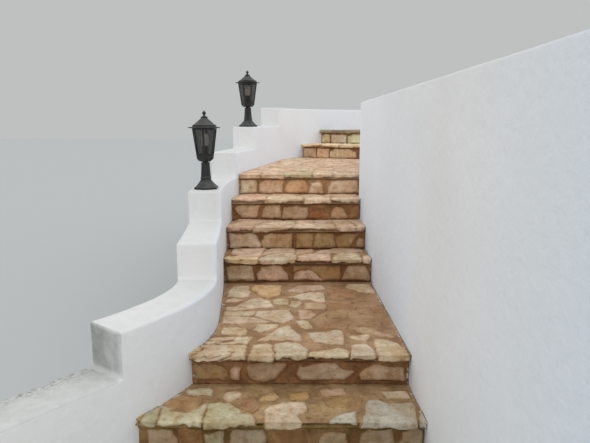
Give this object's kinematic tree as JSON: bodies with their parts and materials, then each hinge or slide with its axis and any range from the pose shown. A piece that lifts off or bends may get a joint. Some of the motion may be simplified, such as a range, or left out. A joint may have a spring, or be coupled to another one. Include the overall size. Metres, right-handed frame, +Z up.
{
  "type": "winding garden stair",
  "caption": "Winding flight of crazy-paved stone steps with two landings, between a stepped and a level white rendered wall, with pillar lanterns on the stepped wall.",
  "frame": {"origin": "on the ground at the foot of the first riser, midway between the walls of the lower flight", "axes": "+Z up, +Y up the lower flight, +X to the right of someone climbing it"},
  "size_m": [3.511, 6.895, 1.903],
  "materials": {
    "paving": "irregular limestone pieces in wide mortar joints, worn matt",
    "riser_stone": "rubble stone facing in dark mortar",
    "masonry": "rubble and mortar fill",
    "white_render": "trowelled cement render with matt white paint, weathered",
    "black_metal": "cast metal with satin black paint, dusty",
    "lantern_glass": "smoky panes",
    "lamp": "opal bulb on a dark holder"
  },
  "bodies": {
    "root": {"tread_1": "paving", "tread_2": "paving", "tread_3": "paving", "tread_4": "paving", "tread_5": "paving", "tread_6": "paving", "tread_7": "paving", "tread_8": "paving", "riser_1": "riser_stone", "riser_2": "riser_stone", "riser_3": "riser_stone", "riser_4": "riser_stone", "riser_5": "riser_stone", "riser_6": "riser_stone", "riser_7": "riser_stone", "riser_8": "riser_stone", "core_foot": "masonry", "core_flight": "masonry", "core_landing": "masonry", "core_head": "masonry", "left_wall_1": "white_render", "left_wall_2": "white_render", "left_wall_3": "white_render", "left_wall_4": "white_render", "left_wall_5": "white_render", "left_wall_6": "white_render", "left_wall_7": "white_render", "left_wall_8": "white_render", "right_wall_front": "white_render", "right_wall_landing": "white_render", "right_wall_exit": "white_render", "lower_lantern_pedestal": "black_metal", "lower_lantern_cage": "black_metal", "lower_lantern_glass": "lantern_glass", "lower_lantern_roof": "black_metal", "lower_lantern_finial": "black_metal", "lower_lantern_lamp": "lamp", "upper_lantern_pedestal": "black_metal", "upper_lantern_cage": "black_metal", "upper_lantern_glass": "lantern_glass", "upper_lantern_roof": "black_metal", "upper_lantern_finial": "black_metal", "upper_lantern_lamp": "lamp"}
  },
  "joints": []
}
